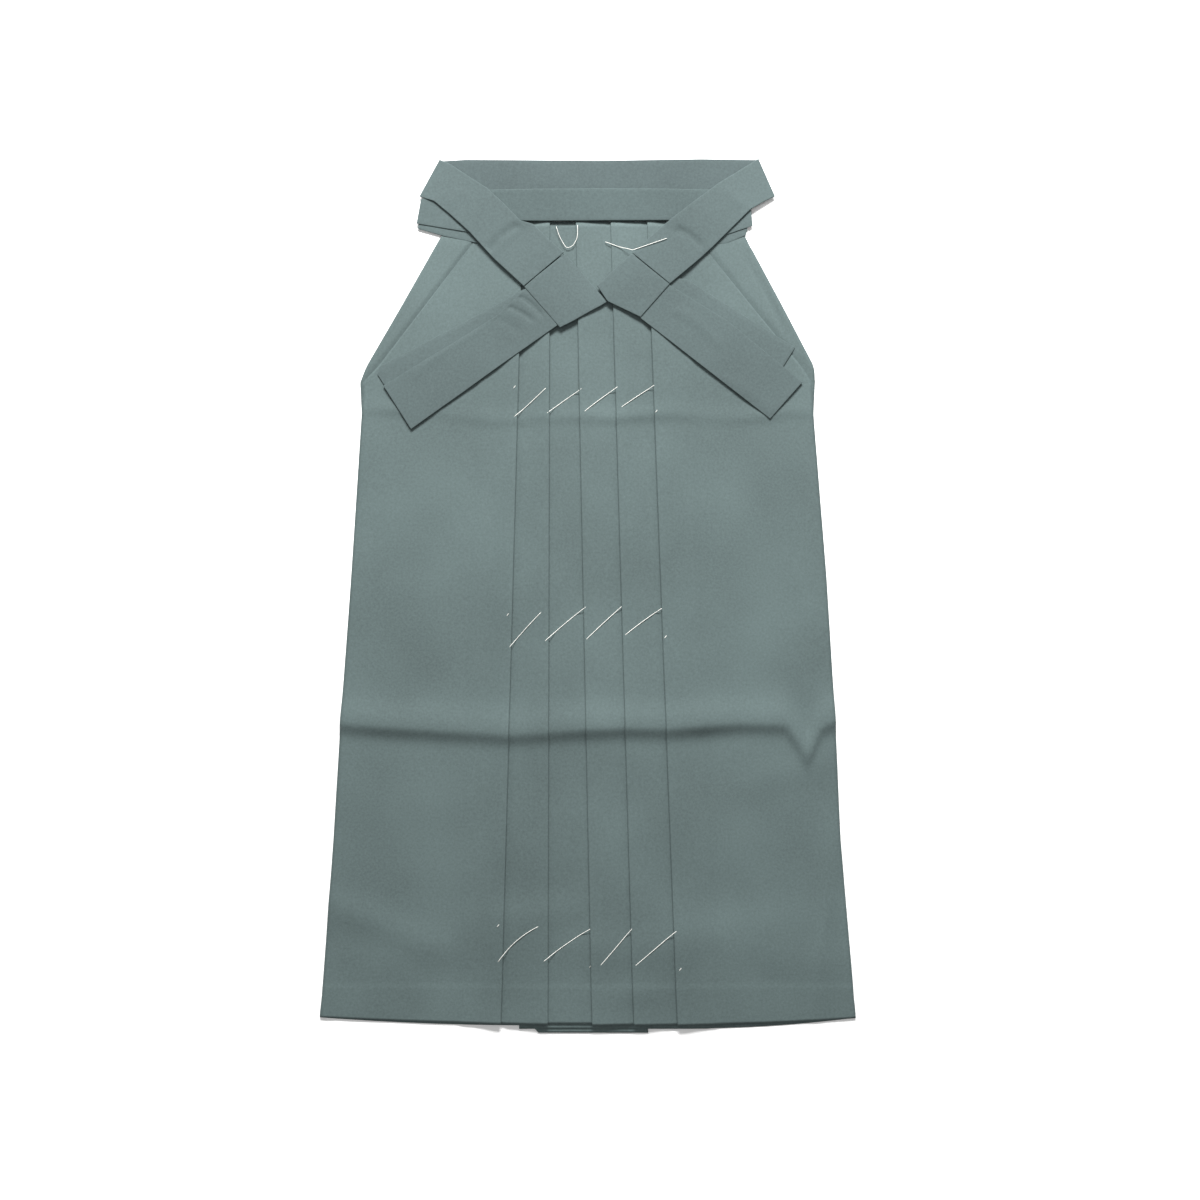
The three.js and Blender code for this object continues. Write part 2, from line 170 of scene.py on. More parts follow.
def back_creases(x, y):
    """The same two storage folds, pressed flatter, and the hems beside the slits: a bulge that
    starts just outside the front panel's edge, with a groove along the right one's fold line."""
    z = BACK_SHARE["fold"] * ridge(x, y, FOLD_X, FOLD_Y, FOLD_H, BACK_REACH["fold"])
    z += BACK_SHARE["weak"] * ridge(x, y, WEAK_X, WEAK_Y, WEAK_H, BACK_REACH["weak"])
    slit = smooth(y, 728, 750) * (1 - smooth(y, WAIST - 25, WAIST))
    outside = smooth(edge("frontLeft", y) - x, 1, 3) + smooth(x - edge("frontRight", y), 1, 3)
    groove = np.exp(-(((x - np.interp(y, SLIT_Y, SLIT_X)) / GROOVE[1]) ** 2))
    return z + slit * outside * (BULGE - GROOVE[0] * groove)


def front_floor(x, y):
    """Height of the lowest front layer: over one back layer, and over three in the back pleat."""
    left, right = line(BACK_PLEAT["left"], y), line(BACK_PLEAT["right"], y)
    pile = smooth(x, left - 45, left - 10) * (1 - smooth(x, right + 12, right + 48))
    return 2 * CLOTH + 0.1 + 2 * BACK_LAYER * pile


def back_floor(x, y):
    """The back lies on the table."""
    return np.full_like(x, CLOTH / 2)


def pressing(y):
    """What is left of the pleats' height: all of it on the skirt, less under the waistband."""
    return 1 - PRESS * smooth(y, PRESSED_FROM, PRESSED_TO)


# ---- meshes -------------------------------------------------------------------------------------

def mesh_object(name, points, quads, material):
    """A smooth-shaded mesh of quads from points in millimetres, at the scene's origin."""
    mesh = bpy.data.meshes.new(name)
    mesh.vertices.add(len(points))
    mesh.vertices.foreach_set("co", (np.asarray(points, np.float32) * MM).ravel())
    mesh.loops.add(quads.size)
    mesh.loops.foreach_set("vertex_index", quads.astype(np.int32).ravel())
    mesh.polygons.add(len(quads))
    mesh.polygons.foreach_set("loop_start", np.arange(0, quads.size, 4, dtype=np.int32))
    mesh.polygons.foreach_set("loop_total", np.full(len(quads), 4, np.int32))
    mesh.update(calc_edges=True)
    mesh.validate()
    mesh.shade_smooth()
    mesh.materials.append(material)
    piece = bpy.data.objects.new(name, mesh)
    bpy.context.scene.collection.objects.link(piece)
    return piece


def grid_quads(rows, columns):
    """Quads of a grid whose rows run up y and whose columns run along x, facing up."""
    r, c = np.meshgrid(np.arange(rows - 1), np.arange(columns - 1), indexing="ij")
    a = r * columns + c
    return np.stack([a, a + 1, a + columns + 1, a + columns], -1).reshape(-1, 4)


def place(x, y, z):
    """Points in the shared frame, with y from the garment's middle instead of from its hem."""
    return np.stack([x, y - LENGTH / 2, z], -1).reshape(-1, 3)


def skin(piece):
    """Gives a sheet the cloth's thickness, half of it to each side."""
    solid = piece.modifiers.new("cloth", "SOLIDIFY")
    solid.thickness = CLOTH * MM
    solid.offset = 0
    solid.use_even_offset = True
    solid.use_quality_normals = True
    return piece


# ---- the skirt panels ---------------------------------------------------------------------------

# Heights of the rows of a panel, closer together at the hem and the two folds.
ROWS = np.unique(np.concatenate([
    np.linspace(0, 60, 22), np.linspace(60, 290, 44), np.linspace(290, 380, 46),
    np.linspace(380, 670, 34), np.linspace(670, 730, 22), np.linspace(730, WAIST, 28),
]))
STEP = 4.6            # widest column on a panel
BEND = 8              # columns round a folded edge
NEAR = 1e-6           # two stops closer than this are at one place


def panel(name, stops, floor, lift, material):
    """A folded panel: on each row the cloth runs from stop to stop. Between two stops at one place
    it turns over in a half circle, and between the others it runs straight in x and eases in z.
    The hem rises as a square law towards its corner, and the back's lowest layer hangs level."""
    y = ROWS
    xs = across(stops)
    zs = np.array([z for x, z in stops], float)
    segment, share = [], []
    for i in range(len(stops) - 1):
        reach = np.abs(xs[:, i + 1] - xs[:, i]).max()
        count = BEND if reach < NEAR else max(3, int(math.ceil(reach / STEP)))
        segment += [i] * count
        share += list(np.arange(count) / count)
    segment.append(len(stops) - 2)
    share.append(1.0)
    segment, share = np.array(segment), np.array(share)
    before, after = xs[:, segment], xs[:, segment + 1]
    turning = np.abs(xs[0, segment + 1] - xs[0, segment]) < NEAR
    radius = np.where(turning, np.abs(zs[segment + 1] - zs[segment]) / 2, 0)
    side = np.sign(xs[0, np.maximum(segment, 1)] - xs[0, np.maximum(segment, 1) - 1])
    x = before + (after - before) * share + side * radius * np.sin(math.pi * share)
    ease = np.where(turning, (1 - np.cos(math.pi * share)) / 2, share * share * (3 - 2 * share))
    z = zs[segment] + (zs[segment + 1] - zs[segment]) * ease
    yy = np.broadcast_to(y[:, None], x.shape)
    level, bend, corner, rise = HEMS[name]
    hem = level + rise * np.clip((x - bend) / (corner - bend), 0, None) ** 2
    if name == "back_right":
        hem = np.where(segment == 0, 0.0, hem)
    up = yy + (1 - smooth(yy, 0, HEM_FADE)) * hem
    height = floor(x, yy) + z * pressing(yy) + lift(x, up)
    return skin(mesh_object(name + "_cloth", place(x, up, height), grid_quads(*x.shape), material))


def across(stops):
    """The stops' places on each row: one line for a row, one column for a stop."""
    return np.stack([np.broadcast_to(x, ROWS.shape) for x, z in stops], 1).astype(float)


def depths(y):
    """The places of the front's folded edges, and how far each pleat is turned under."""
    at = {name: line(ends, y) for name, ends in PLEATS.items()}
    room = CLIMB + 2 * CLEAR
    return at, {
        "first": np.minimum(DEPTH, at["first"] - edge("frontLeft", y) - 2 * CLIMB),
        "second": at["second"] - at["first"] - room,
        "third": at["fourth"] - at["third"] - room,
        "fourth": at["fifth"] - at["fourth"] - room,
        "fifth": np.minimum(DEPTH, edge("frontRight", y) - at["fifth"] - 2 * CLIMB),
    }


def front_left_stops(y):
    """The left front from its side to the inside of the third pleat: place, height."""
    at, deep = depths(y)
    turned, tucked = at["first"] - deep["first"], at["second"] - deep["second"]
    return [
        (edge("frontLeft", y), 0), (turned - CLEAR - 6, 0), (turned + 4, 2 * TUCK),
        (at["first"], 2 * EDGE), (at["first"], EDGE), (turned, TUCK), (turned, 0),
        (at["first"] + CLEAR, 0), (tucked - CLEAR, 2 * TUCK), (at["second"], 2 * EDGE),
        (at["second"], EDGE), (tucked, TUCK), (tucked, 0),
        (at["third"] + deep["third"], 0),
    ]


def front_right_stops(y):
    """The right front from the inside of the third pleat to its side."""
    at, deep = depths(y)
    inner = {name: at[name] + deep[name] for name in ("third", "fourth", "fifth")}
    return [
        (inner["third"], TUCK), (at["third"], EDGE), (at["third"], 2 * EDGE),
        (inner["third"] + CLEAR, 2 * TUCK), (at["fourth"] - CLEAR, 0),
        (inner["fourth"], 0), (inner["fourth"], TUCK), (at["fourth"], EDGE),
        (at["fourth"], 2 * EDGE), (inner["fourth"] + CLEAR, 2 * TUCK),
        (at["fifth"] - CLEAR, 0), (inner["fifth"], 0), (inner["fifth"], TUCK),
        (at["fifth"], EDGE), (at["fifth"], 2 * EDGE), (inner["fifth"] - 4, 2 * TUCK),
        (inner["fifth"] + CLEAR + 6, 0), (edge("frontRight", y), 0),
    ]


def back_left_stops(y):
    """The left back from its side to its seam inside the back pleat."""
    right, seam = line(BACK_PLEAT["right"], y), line(BACK_PLEAT["seam"], y)
    return [
        (edge("backLeft", y), 0), (right, 0), (right, BACK_LAYER),
        (seam + 0.4, BACK_LAYER),
    ]


def back_right_stops(y):
    """The right back from its seam, round the back pleat, to its side."""
    left, right, seam = (line(BACK_PLEAT[name], y) for name in ("left", "right", "seam"))
    return [
        (seam, BACK_LAYER), (left + HANG, BACK_LAYER), (left, BACK_LAYER),
        (left, 2 * BACK_LAYER), (right + CLEAR, 2 * BACK_LAYER),
        (right + CLEAR + 12, 0), (edge("backRight", y), 0),
    ]


def front_top(x, y):
    """Height of the cloth that shows on the front: straight from one visible stop to the next."""
    at, deep = depths(y)
    half = {name: at[name] + deep[name] for name in ("third", "fourth", "fifth")}
    turned, tucked = at["first"] - deep["first"], at["second"] - deep["second"]
    low, inner, top = 0, 2 * TUCK, 2 * EDGE
    knots = [
        (edge("frontLeft", y), low), (turned - 8, low), (turned + 4, inner), (at["first"], top),
        (at["first"] + CLEAR, low), (tucked - CLEAR, inner), (at["second"], top),
        (at["second"] + 0.5, low), (at["third"] - 0.5, low), (at["third"], top),
        (half["third"] + CLEAR, inner), (at["fourth"] - CLEAR, low), (at["fourth"], top),
        (half["fourth"] + CLEAR, inner), (at["fifth"] - CLEAR, low), (at["fifth"], top),
        (half["fifth"] - 4, inner), (half["fifth"] + 8, low), (edge("frontRight", y), low),
    ]
    z = np.zeros_like(x)
    for (x1, z1), (x2, z2) in zip(knots[:-1], knots[1:]):
        between = (x >= x1) & (x <= x2)
        z = np.where(between, z1 + (z2 - z1) * (x - x1) / (x2 - x1), z)
    return z * pressing(y) + front_floor(x, y) + creases(x, y) + CLOTH / 2


# ---- waistbands and ties ------------------------------------------------------------------------

def rest(x):
    """Height of the skirt's top under the ties: a smooth hill over the pleats."""
    return 1.7 + 2.9 * (1 - smooth(np.abs(x), 82, 142))


RIM = np.array([0, 0.04, 0.15, 0.34, 0.62, 1.0])     # steps through a rounded rim


def spaced(total, rim, count):
    """Shares along a side: close together in the rounded rim at both ends, even between."""
    inner = np.linspace(rim, total - rim, count + 2)[1:-1]
    rim = rim * RIM
    return np.concatenate([rim, inner, total - rim[::-1]]) / total


def mark(x, y, x1, y1, x2, y2, breadth):
    """A small crease: a bell across the line from one point to another, fading at its ends."""
    length = math.hypot(x2 - x1, y2 - y1)
    ux, uy = (x2 - x1) / length, (y2 - y1) / length
    along = (x - x1) * ux + (y - y1) * uy
    bow = 0.07 * length * np.sin(math.pi * np.clip(along / length, 0, 1))
    across = (y - y1) * ux - (x - x1) * uy - bow
    window = smooth(along, -4, 6) * (1 - smooth(along, length - 6, length + 4))
    return window * np.exp(-((across / breadth) ** 2))


def slab(table, under, over, nu=26, nv=14, height=rest, wobble=0.0, marks=()):
    """A flat folded strip as a closed pillow. It runs from station to station of its table (a point
    on the low edge, one on the high edge and a lift), with a rounded rim: at a distance d inside
    the outline its half thickness is that of a circle's edge, and level further in."""
    table = np.asarray(table, float)
    low, high, lift = table[:, 0:2], table[:, 2:4], table[:, 4]
    half = (over - under) / 2
    middle = (low + high) / 2
    run = np.concatenate([[0], np.cumsum(np.linalg.norm(np.diff(middle, axis=0), axis=1))])
    width = np.linalg.norm(high - low, axis=1).mean()
    u, v = spaced(run[-1], half, nu), spaced(width, half, nv)
    at = u * run[-1]

    def pick(column):
        return np.interp(at, run, column)[:, None]

    x = pick(low[:, 0]) * (1 - v) + pick(high[:, 0]) * v
    y = pick(low[:, 1]) * (1 - v) + pick(high[:, 1]) * v
    inside_u = np.minimum(at, run[-1] - at)[:, None] + 0 * v
    inside_v = (np.minimum(v, 1 - v) * width)[None, :] + 0 * inside_u
    d = np.minimum(inside_u, inside_v)
    t = np.clip(d / half, 0, 1)
    body = half * np.sqrt(np.clip(1 - (1 - t) ** 2, 0, 1))
    base = height(x) + pick(lift) + (under + over) / 2
    broad = np.sin(x / 19 + y / 23) * np.sin(y / 31 - x / 47)
    base = base + wobble * (broad + 0.6 * np.sin(x / 9 - y / 13))
    for x1, y1, x2, y2, depth, breadth in marks:
        base = base - depth * mark(x, y, x1, y1, x2, y2, breadth) * smooth(d, 0, 5)
    rows, columns = x.shape
    top, bottom = place(x, y, base + body), place(x, y, base - body)
    inner = (d > 1e-9).ravel()
    index = np.arange(rows * columns)
    lower = np.where(inner, rows * columns + np.cumsum(inner) - 1, index)
    quads = grid_quads(rows, columns)
    points = np.concatenate([top, bottom[inner]])
    # Stations may run either way, so the faces are put the right way up by the first quad's turn.
    a, b, c = top[quads[len(quads) // 2, :3]]
    if np.cross(b - a, c - a)[2] < 0:
        quads = quads[:, ::-1]
    return points, np.concatenate([quads, lower[quads][:, ::-1]])


def stack(name, slabs, material):
    """Several slabs as one piece."""
    points, quads, start = [], [], 0
    for p, q in slabs:
        points.append(p)
        quads.append(q + start)
        start += len(p)
    return mesh_object(name, np.concatenate(points), np.concatenate(quads), material)


# ---- materials ----------------------------------------------------------------------------------

def fabric(name, colour, weave=0.45, strength=0.35):
    """Plain-woven cloth: two crossed sets of fine ribs in the bump, a soft unevenness of colour and
    a faint bloom at grazing angles."""
    material = bpy.data.materials.new(name)
    material.use_nodes = True
    nodes, links = material.node_tree.nodes, material.node_tree.links
    shader = nodes["Principled BSDF"]
    shader.inputs["Roughness"].default_value = 0.78
    shader.inputs["Specular IOR Level"].default_value = 0.28
    shader.inputs["Sheen Weight"].default_value = 0.12
    shader.inputs["Sheen Roughness"].default_value = 0.45
    shader.inputs["Sheen Tint"].default_value = (0.75, 0.9, 0.92, 1)
    where = nodes.new("ShaderNodeTexCoord")
    mottle = nodes.new("ShaderNodeTexNoise")
    mottle.inputs["Scale"].default_value = 380
    mottle.inputs["Detail"].default_value = 4
    mottle.inputs["Roughness"].default_value = 0.7
    links.new(where.outputs["Object"], mottle.inputs["Vector"])
    drift = nodes.new("ShaderNodeTexNoise")
    drift.inputs["Scale"].default_value = 7
    drift.inputs["Detail"].default_value = 2
    links.new(where.outputs["Object"], drift.inputs["Vector"])
    blend = nodes.new("ShaderNodeMath")
    blend.operation = "MULTIPLY_ADD"
    blend.inputs[1].default_value = 0.55
    links.new(mottle.outputs["Fac"], blend.inputs[0])
    share = nodes.new("ShaderNodeMath")
    share.operation = "MULTIPLY"
    share.inputs[1].default_value = 0.45
    links.new(drift.outputs["Fac"], share.inputs[0])
    links.new(share.outputs[0], blend.inputs[2])
    ramp = nodes.new("ShaderNodeValToRGB")
    ramp.color_ramp.elements[0].position = 0.3
    ramp.color_ramp.elements[0].color = (*[0.74 * c for c in colour], 1)
    ramp.color_ramp.elements[1].position = 0.7
    ramp.color_ramp.elements[1].color = (*[1.26 * c for c in colour], 1)
    links.new(blend.outputs[0], ramp.inputs[0])
    links.new(ramp.outputs[0], shader.inputs["Base Color"])
    threads = []
    for direction in ("X", "Y"):
        wave = nodes.new("ShaderNodeTexWave")
        wave.wave_type = "BANDS"
        wave.bands_direction = direction
        wave.inputs["Scale"].default_value = 314 / weave
        wave.inputs["Distortion"].default_value = 0.6
        wave.inputs["Detail"].default_value = 1
        links.new(where.outputs["Object"], wave.inputs["Vector"])
        threads.append(wave)
    crossing = nodes.new("ShaderNodeMath")
    crossing.operation = "MULTIPLY"
    links.new(threads[0].outputs["Fac"], crossing.inputs[0])
    links.new(threads[1].outputs["Fac"], crossing.inputs[1])
    bump = nodes.new("ShaderNodeBump")
    bump.inputs["Strength"].default_value = strength
    bump.inputs["Distance"].default_value = 0.0002
    links.new(crossing.outputs[0], bump.inputs["Height"])
    links.new(bump.outputs["Normal"], shader.inputs["Normal"])
    return material


cloth = fabric("slate cloth", (0.077, 0.106, 0.105))
# The ties get the slate cloth darkened by about a seventh: painted shade for the weaker light that their
# turned grain gives back.
tie_cloth_painted_shade = fabric("slate cloth with painted shade for the ties", (0.066, 0.091, 0.091))
# The two waistbands get the slate cloth darkened by about a quarter: painted shade for the weaker light off
# their turned grain.
back_band_cloth_painted_shade = fabric("slate cloth with painted shade for the back waistband", (0.058, 0.080, 0.081))
front_band_cloth_painted_shade = fabric("slate cloth with painted shade for the front waistband", (0.059, 0.083, 0.083))
thread = fabric("white basting thread", (0.84, 0.83, 0.78), weave=0.3, strength=0.5)

# ---- build the skirt ----------------------------------------------------------------------------

# Each panel's stops, what it lies on, and what creases it.
PANELS = {
    "back_left": (back_left_stops, back_floor, back_creases),
    "back_right": (back_right_stops, back_floor, back_creases),
    "front_left": (front_left_stops, front_floor, creases),
    "front_right": (front_right_stops, front_floor, creases),
}
pieces = {}
for name, (stops, floor, lift) in PANELS.items():
    pieces[name] = panel(name, stops(ROWS), floor, lift, cloth)

# Each strip's table, a row for each station along it: the low edge's x and y, the high edge's x
# and y, and its lift over the skirt.
BACK_BAND = [
    (-180, 924, -170, 993.5, 0), (-140, 924, -140, 995.3, 0), (14, 924, 14, 994.2, 0),
    (131, 924, 131, 996, 0), (178, 924, 194, 995, 0),
]
FRONT_BAND = [
    (-150, 923.5, -150, 959, 0), (-60, 922.5, -60, 960, 0), (20, 923, 20, 960.5, 0),
    (150, 923.5, 150, 960, 0),
]
FOLD_LEFT = [(-196, 915, -190, 946, 0), (-165, 906, -160, 952, 0), (-122, 897, -118, 950, 0)]
FOLD_LEFT_TOP = [
    (-197, 920.5, -192, 949, 0), (-165, 915, -160, 955, 0), (-122, 908, -118, 958, 0),
]
FOLD_RIGHT = [(112, 893, 112, 948, 0), (160, 898, 162, 940, 0), (181, 907, 187, 932, 0)]
FOLD_RIGHT_TOP = [(112, 900, 112, 956, 0), (160, 908, 162, 946, 0), (189, 918, 187, 939, 0)]
TIE_LEFT = [
    (-194, 952, -171, 995, -0.4), (-186, 949, -158, 989, 0.6), (-177, 946, -136, 974, 1.6),
    (-159, 931, -116, 961, 1.9), (-136, 910, -93, 939, 1.9), (-118, 890, -78, 923, 1.5),
    (-108, 879, -63, 919, 0.7), (-92, 864, -44, 900, 1.6), (-73.5, 846.5, -27.5, 885.5, 2.1),
]
TIE_RIGHT = [
    (93.5, 849.5, 50.5, 885, 2.1), (114, 867, 70, 903, 1.6), (130, 881, 88, 919, 0.7),
    (142, 892, 98, 927, 1.5), (163, 913, 122, 946, 1.9), (186, 936, 150, 967, 1.9),
    (203, 946, 179, 985, 0.8), (215, 952, 196, 996, -0.4),
]
SQUARE_LEFT = [
    (-32, 799, -73, 846, -0.6), (-18, 806, -58, 859, -0.4), (3, 818, -42, 872, -0.6),
    (14, 824, -34, 879, -1.2), (22, 829, -27, 885, -1.9),
]
SQUARE_RIGHT = [
    (10.3, 847, 50, 884.5, 0.2), (22.3, 829, 68, 869.5, 0.4), (60, 811, 93.3, 849, 0.1),
]
BUNDLE_LEFT = [
    (-203, 688, -241, 746, 0), (-201, 685, -239, 755, 0), (-120, 744, -99, 829, 0),
    (-37, 802, -75, 843, 0), (-20, 813, -60, 855, 0),
]
BUNDLE_LEFT_TOP = [
    (-202, 683, -234, 733, 0), (-120, 742, -103, 814, 0), (-36, 801, -74, 842, 0),
    (-19, 813, -59, 855, 0),
]
BUNDLE_RIGHT = [(46, 822, 78, 858, 0), (64, 813, 112, 856, 0), (196, 712, 237, 777, 0)]
BUNDLE_RIGHT_TOP = [
    (44, 822, 74, 861, 0), (60, 810, 93, 848.5, 0), (134, 753, 158, 809, 0),
    (208, 695, 245, 737, 0),
]
# Small creases: from, to, depth and breadth.
LEFT_BUNDLE_MARKS = [
    (-84, 838, -52, 812, 0.9, 3), (-101, 826, -62, 806, 0.8, 3), (-112, 812, -76, 792, 0.4, 5),
    (-200, 742, -120, 800, -0.4, 7),
]
RIGHT_BUNDLE_MARKS = [(98, 820, 152, 778, -0.5, 6), (150, 742, 212, 700, -0.4, 8)]
LEFT_TIE_MARKS = [(-117, 884, -79, 918, 1.1, 5), (-160, 940, -142, 958, -0.4, 7)]
RIGHT_TIE_MARKS = [(101, 914, 131, 892, 1.1, 5), (176, 940, 160, 962, -0.4, 7)]


def on_table(x):
    """The back waistband lies on the table, not on the skirt."""
    return np.zeros_like(x)


def folded_pair(under, over):
    """Two layers of a front tie folded beside the waistband."""
    return [(under, 0.0, 0.9, {}), (over, 1.0, 1.9, {"wobble": 0.1})]


def bundle(under, over, marks):
    """Four layers of a front tie, the upper two a little out of line, the top one creased."""
    return [
        (under, 0.0, 0.75, {"nu": 60}),
        (under, 0.8, 1.55, {"nu": 60}),
        (over, 1.6, 2.35, {"nu": 60}),
        (over, 2.4, 3.15, {"nu": 130, "nv": 34, "wobble": 0.2, "marks": marks}),
    ]


def tie(table, marks):
    """One slanting stretch of a back tie."""
    return [(table, 0.9, 2.4, {"nu": 90, "nv": 30, "wobble": 0.15, "marks": marks})]


def square(table):
    """The square that a back tie makes over a bundle."""
    return [(table, 3.2, 4.5, {"nu": 30, "nv": 24, "wobble": 0.12})]


# Each strip's cloth and its layers: table, underside and top over the skirt, and slab options.
STRIPS = {
    "back_waistband": (back_band_cloth_painted_shade, [
        (BACK_BAND, 0.0, 0.8, {"nu": 60, "height": on_table}),
        (BACK_BAND, 0.85, 1.65, {"nu": 60, "height": on_table, "wobble": 0.05}),
    ]),
    "front_waistband": (front_band_cloth_painted_shade, [
        (FRONT_BAND, 0.0, 2.0, {"nu": 60, "nv": 10, "wobble": 0.1}),
    ]),
    "front_tie_fold_left": (tie_cloth_painted_shade, folded_pair(FOLD_LEFT, FOLD_LEFT_TOP)),
    "front_tie_fold_right": (tie_cloth_painted_shade, folded_pair(FOLD_RIGHT, FOLD_RIGHT_TOP)),
    "front_tie_left": (tie_cloth_painted_shade, bundle(BUNDLE_LEFT, BUNDLE_LEFT_TOP, LEFT_BUNDLE_MARKS)),
    "front_tie_right": (tie_cloth_painted_shade, bundle(BUNDLE_RIGHT, BUNDLE_RIGHT_TOP, RIGHT_BUNDLE_MARKS)),
    "back_tie_left": (tie_cloth_painted_shade, tie(TIE_LEFT, LEFT_TIE_MARKS)),
    "back_tie_right": (tie_cloth_painted_shade, tie(TIE_RIGHT, RIGHT_TIE_MARKS)),
    "back_tie_square_left": (tie_cloth_painted_shade, square(SQUARE_LEFT)),
    "back_tie_square_right": (tie_cloth_painted_shade, square(SQUARE_RIGHT)),
}
for name, (material, layers) in STRIPS.items():
    slabs = [slab(table, under, over, **options) for table, under, over, options in layers]
    pieces[name] = stack(name + "_cloth", slabs, material)

# ---- basting threads ----------------------------------------------------------------------------

# Each stitch: start, a point it bows through, and end.
STITCHES = [
    (-85, 696, -66, 713, -47, 731), (-48, 700, -27, 716, -6, 730),
    (-5, 702, 15, 718, 35, 732), (37, 707, 57, 721, 77, 734),
    (-90, 433, -71, 455, -52, 475), (-50, 440, -25, 462, -1, 481),
    (-3, 442, 18, 462, 39, 481), (41, 447, 63, 464, 85, 479),
    (-102, 79, -80, 104, -54, 121), (-51, 80, -24, 100, 4, 118),
    (13, 75, 33, 98, 51, 119), (52, 75, 77, 96, 101, 116),
]
# Thread ends that show as short dots.
DOTS = [(-84, 731), (78, 703), (-91, 471), (88, 446), (-101, 121), (104, 72), (3, 75)]
# The loose loop at the left of the waist, and the long stitch over the right tie.
LOOP = [(-37, 918), (-33, 905), (-25, 891), (-17, 894), (-12, 904), (-12, 920)]
LONG_STITCH = [(19, 899), (35, 893), (51, 888), (71, 895), (91, 902)]
THREAD = 0.32         # radius of the thread
DIP = 1.2             # how deep a thread goes into the cloth at its ends
SIDES = 6             # sides of a thread's cross-section
TIP = 0.15            # radius at a thread's ends, as a share of its own


def tube(path):
    """A round thread along a path, its ring in the plane across the path's direction."""
    ahead = np.gradient(path, axis=0)
    ahead /= np.linalg.norm(ahead, axis=1)[:, None]
    sideways = np.cross(ahead, (0, 0, 1.0))
    sideways /= np.linalg.norm(sideways, axis=1)[:, None]
    up = np.cross(sideways, ahead)
    turn = (np.arange(SIDES) * 2 * math.pi / SIDES)[None, :, None]
    ring = np.cos(turn) * sideways[:, None] + np.sin(turn) * up[:, None]
    swell = np.ones(len(path))
    swell[[0, -1]] = TIP
    points = (path[:, None] + THREAD * swell[:, None, None] * ring).reshape(-1, 3)
    i, j = np.meshgrid(np.arange(len(path) - 1), np.arange(SIDES), indexing="ij")
    k = (j + 1) % SIDES
    here, there = i * SIDES, (i + 1) * SIDES
    quads = np.stack([here + j, there + j, there + k, here + k], -1).reshape(-1, 4)
    caps = []
    for end, order in ((0, 1), (len(path) - 1, -1)):
        rim = end * SIDES + np.arange(SIDES)
        caps += [rim[[0, 1, 2, 3]][::order], rim[[0, 3, 4, 5]][::order]]
    return points, np.concatenate([quads, np.array(caps)])


def bowed(x1, y1, x2, y2, x3, y3, count=25):
    """The curve through three points: a quadratic in a parameter from 0 to 1."""
    t = np.linspace(0, 1, count)
    first, second, third = 2 * (t - 0.5) * (t - 1), -4 * t * (t - 1), 2 * t * (t - 0.5)
    return first * x1 + second * x2 + third * x3, first * y1 + second * y2 + third * y3


def averaged(values, count):
    """The running mean of an odd count of neighbours."""
    padded = np.pad(values, count // 2, mode="edge")
    return np.convolve(padded, np.ones(count) / count, "valid")


def laid(xs, ys, surface):
    """Puts a thread on the cloth: over the highest of five neighbours, smoothed, and sunk in at
    both ends by a falling exponential."""
    heights = surface(xs, ys)
    padded = np.pad(heights, 2, mode="edge")
    heights = averaged(np.max([padded[k:k + len(heights)] for k in range(5)], axis=0), 5)
    t = np.linspace(0, 1, len(xs))
    dip = DIP * (np.exp(-t / 0.03) + np.exp(-(1 - t) / 0.03))
    return np.stack([xs, ys - LENGTH / 2, heights + THREAD - dip], 1)


def over_ties(x, y):
    """Height under the loose threads: the skirt by the waist, and the right tie from its edge."""
    return rest(x) + 0.7 + 3.9 * smooth(x, 38, 50)


def loose(corners, count, blur):
    """A thread through corners, evened out by a running mean."""
    corners = np.array(corners, float)
    t = np.linspace(0, len(corners) - 1, count)
    return [averaged(np.interp(t, np.arange(len(corners)), corners[:, k]), blur) for k in (0, 1)]


basting = [tube(laid(*bowed(*stitch), front_top)) for stitch in STITCHES]
for x, y in DOTS:
    basting.append(tube(laid(np.linspace(x - 1.2, x + 1.2, 9), np.linspace(y - 1.6, y + 1.6, 9), front_top)))
basting.append(tube(laid(*loose(LOOP, 61, 9), over_ties)))
basting.append(tube(laid(*loose(LONG_STITCH, 61, 3), over_ties)))
basting_piece = stack("basting_threads", basting, thread)

# ---- flat cuts of the pieces --------------------------------------------------------------------

def panel_cut(name, stops):
    """Flat cut of a panel: its widest run of cloth from stop to stop, its length from hem to waist,
    and the area between them, in metres. The turned-up hem isn't counted."""
    run = np.abs(np.diff(across(stops), axis=1)).sum(1)
    length = WAIST - HEMS[name][0]
    area = ((run[1:] + run[:-1]) / 2 * np.diff(ROWS)).sum() * length / WAIST
    return run.max() * MM, length * MM, area * MM * MM


def strip_cut(layers):
    """Flat cut of a strip's layers opened side by side, in metres: for each layer, the area between
    its edges over the length of its middle line, added up, and the layers' mean length."""
    widths, lengths = [], []
    for layer in layers:
        table = np.asarray(layer[0], float)
        low, high = table[:, 0:2], table[:, 2:4]
        length = np.linalg.norm(np.diff((low + high) / 2, axis=0), axis=1).sum()
        a, b = high[1:] - low[:-1], high[:-1] - low[1:]
        area = np.abs(a[:, 0] * b[:, 1] - a[:, 1] * b[:, 0]).sum() / 2
        widths.append(area / length)
        lengths.append(length)
    return sum(widths) * MM, sum(lengths) / len(lengths) * MM, None


CUTS = {name: panel_cut(name, stops(ROWS)) for name, (stops, floor, lift) in PANELS.items()}
CUTS.update({name: strip_cut(layers) for name, (material, layers) in STRIPS.items()})

# ---- stage, light and camera --------------------------------------------------------------------

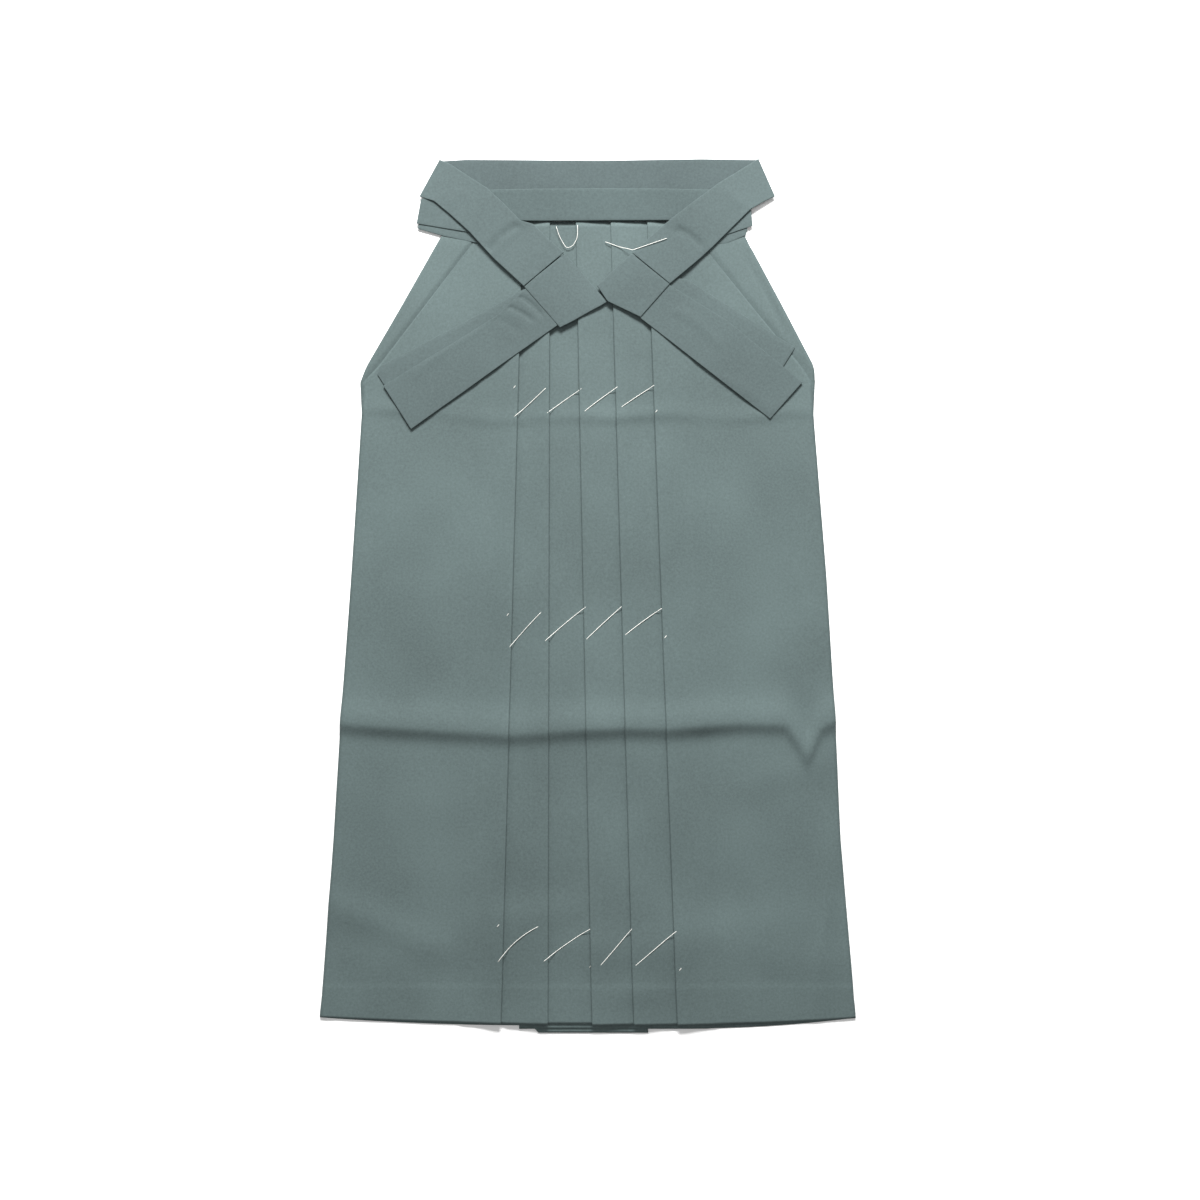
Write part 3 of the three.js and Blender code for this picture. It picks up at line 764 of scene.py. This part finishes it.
bpy.ops.mesh.primitive_plane_add(size=12, location=(0, 0, -0.0002))
table = bpy.context.object
table.name = "table"
white = bpy.data.materials.new("white table")
white.use_nodes = True
white.node_tree.nodes["Principled BSDF"].inputs["Base Color"].default_value = (0.93, 0.93, 0.925, 1)
white.node_tree.nodes["Principled BSDF"].inputs["Roughness"].default_value = 0.9
table.data.materials.append(white)

for name, piece in pieces.items():
    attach(piece, "root")
    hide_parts(name)
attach(basting_piece, "root")


def aim_at(thing, spot, aim):
    """Turns a camera or lamp so that its -Z points at aim and its +Y stays up the garment."""
    forward = np.array(aim, float) - np.array(spot, float)
    forward /= np.linalg.norm(forward)
    right = np.cross(forward, (0, 1.0, 0.0))
    right /= np.linalg.norm(right)
    up = np.cross(right, forward)
    thing.rotation_euler = Matrix((right, up, -forward)).transposed().to_euler()


def area_light(name, spot, aim, size, power):
    """A soft white rectangle of light, in metres and watts."""
    data = bpy.data.lights.new(name, "AREA")
    data.shape = "RECTANGLE"
    data.size, data.size_y = size
    data.energy = power
    lamp = bpy.data.objects.new(name, data)
    bpy.context.scene.collection.objects.link(lamp)
    lamp.location = spot
    aim_at(lamp, spot, aim)


# A low window above the waist brings out the folds, and the ceiling and the room fill the shade.
area_light("window", (0.02, 2.5, 1.75), (0, 0.1, 0), (1.5, 0.7), 240)
area_light("ceiling", (0.0, 0.0, 2.6), (0, 0, 0), (2.4, 2.4), 14)
world = bpy.data.worlds.new("room")
bpy.context.scene.world = world
world.use_nodes = True
world.node_tree.nodes["Background"].inputs["Color"].default_value = (1, 1, 1, 1)
world.node_tree.nodes["Background"].inputs["Strength"].default_value = 0.36
bpy.context.scene.view_settings.view_transform = "Standard"
bpy.context.scene.view_settings.look = "None"

AIM = (0.0137, -0.010, 0.0)
DISTANCE = 1.596
TILT = math.radians(88)
camera_data = bpy.data.cameras.new("camera")
camera_data.lens = 42
camera_data.sensor_width = 36
camera = bpy.data.objects.new("camera", camera_data)
bpy.context.scene.collection.objects.link(camera)
camera.location = (AIM[0], AIM[1] - DISTANCE * math.cos(TILT), DISTANCE * math.sin(TILT))
aim_at(camera, camera.location, AIM)
bpy.context.scene.camera = camera
